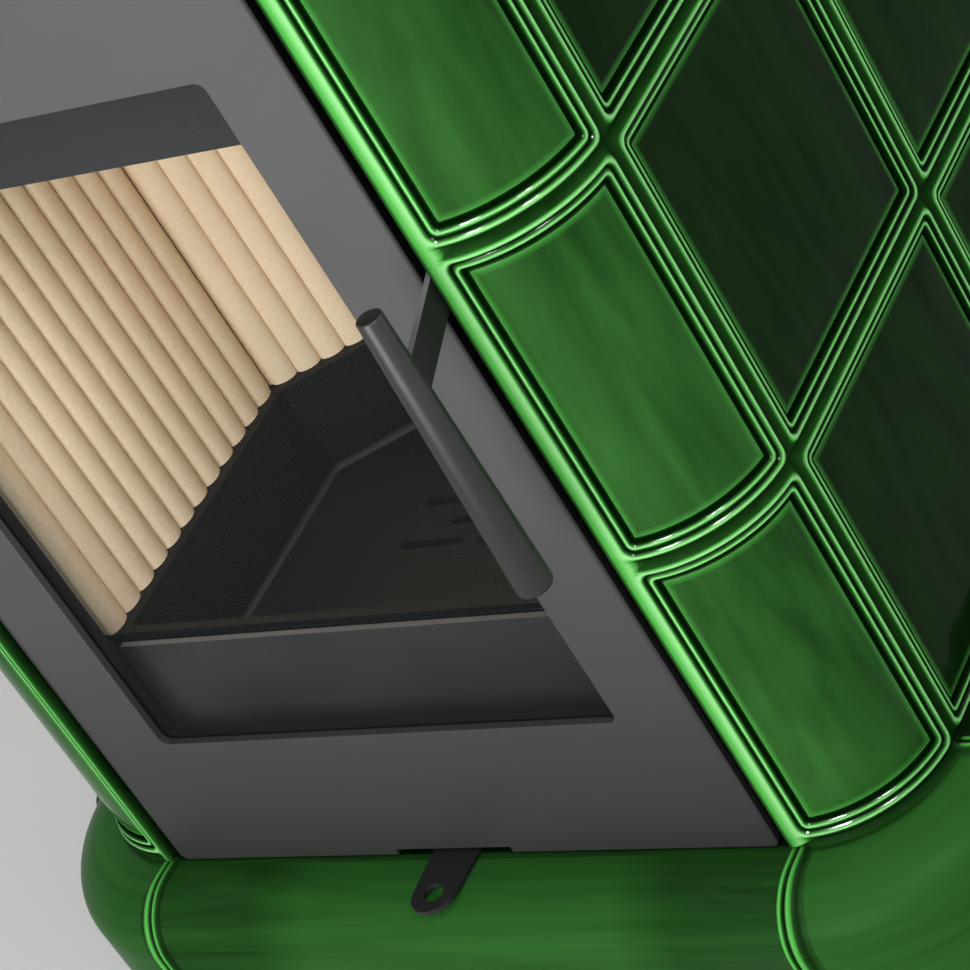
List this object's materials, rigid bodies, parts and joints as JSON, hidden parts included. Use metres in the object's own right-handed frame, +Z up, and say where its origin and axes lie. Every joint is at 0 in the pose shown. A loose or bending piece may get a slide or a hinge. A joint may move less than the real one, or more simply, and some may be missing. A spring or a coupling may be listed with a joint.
{
  "type": "masonry heater",
  "caption": "Free-standing masonry heater clad in glossy green relief tiles on a rounded base course, with a tall glazed fire door, a long lever handle and a sliding air lever.",
  "frame": {"origin": "middle of the bounding box on the floor", "axes": "+X to the right seen from the door side, +Y from the door towards the back wall, +Z up"},
  "size_m": [0.7426, 0.6132, 1.3],
  "materials": {
    "green_glaze": "high gloss glaze on ceramic, brighter on the ridges",
    "dark_green_glaze": "high gloss glaze on ceramic, brighter on the ridges",
    "door_steel": "satin dark grey",
    "black_steel": "satin black",
    "grip_steel": "dark, finely drawn, satin",
    "cast_iron": "rough, dark grey",
    "insert_steel": "matt, heat darkened",
    "lining_board": "matt, fine grained, pale cream",
    "fireclay": "matt, mineral, pale sand",
    "seal_rope": "braided fibre",
    "fire_glass": "clear and smooth"
  },
  "bodies": {
    "heater": {"air_wash_plate": "insert_steel", "back_wall": "fireclay", "baffle_plate": "lining_board", "base_tile_corner_left": "green_glaze", "base_tile_corner_right": "green_glaze", "base_tile_front": "green_glaze", "base_tile_side_left": "dark_green_glaze", "base_tile_side_right": "dark_green_glaze", "corner_tile_left_1": "green_glaze", "corner_tile_left_2": "green_glaze", "corner_tile_left_3": "green_glaze", "corner_tile_left_4": "green_glaze", "corner_tile_right_1": "green_glaze", "corner_tile_right_2": "green_glaze", "corner_tile_right_3": "green_glaze", "corner_tile_right_4": "green_glaze", "cornice_front": "green_glaze", "cornice_left": "dark_green_glaze", "cornice_right": "dark_green_glaze", "cover_slab": "fireclay", "fire_trough": "cast_iron", "flue_collar": "black_steel", "front_tile_left": "green_glaze", "front_tile_right": "green_glaze", "hinge_rod": "black_steel", "insert_body": "insert_steel", "insert_frame": "black_steel", "latch_keeper": "black_steel", "liner_back": "lining_board", "liner_back_left": "lining_board", "liner_back_right": "lining_board", "liner_left": "lining_board", "liner_right": "lining_board", "log_guard": "cast_iron", "masonry_base": "fireclay", "side_tile_left_1_1": "dark_green_glaze", "side_tile_left_1_2": "dark_green_glaze", "side_tile_left_2_1": "dark_green_glaze", "side_tile_left_2_2": "dark_green_glaze", "side_tile_left_3_1": "dark_green_glaze", "side_tile_left_3_2": "dark_green_glaze", "side_tile_left_4_1": "dark_green_glaze", "side_tile_left_4_2": "dark_green_glaze", "side_tile_right_1_1": "dark_green_glaze", "side_tile_right_1_2": "dark_green_glaze", "side_tile_right_2_1": "dark_green_glaze", "side_tile_right_2_2": "dark_green_glaze", "side_tile_right_3_1": "dark_green_glaze", "side_tile_right_3_2": "dark_green_glaze", "side_tile_right_4_1": "dark_green_glaze", "side_tile_right_4_2": "dark_green_glaze", "storage_core": "fireclay"},
    "door": {"door_plate": "door_steel", "door_frame": "black_steel", "glass_pane": "fire_glass", "glass_retainer": "black_steel", "door_seal": "seal_rope"},
    "handle": {"handle_arm": "black_steel", "handle_grip": "grip_steel"},
    "air_control": {"air_slide": "black_steel"}
  },
  "joints": [
    {"name": "door_hinge", "type": "hinge", "parent": "heater", "child": "door", "pos_m": [-0.21625, -0.22865, 0.598], "axis": [0, 0, -1], "range_deg": [0, 105]},
    {"name": "handle_lever", "type": "hinge", "parent": "door", "child": "handle", "pos_m": [0.23275, -0.22765, 0.6923], "axis": [-1, 0, 0], "range_deg": [0, 35]},
    {"name": "air_slide", "type": "slide", "parent": "heater", "child": "air_control", "axis": [1, 0, 0], "range_m": [-0.022, 0.022]}
  ]
}
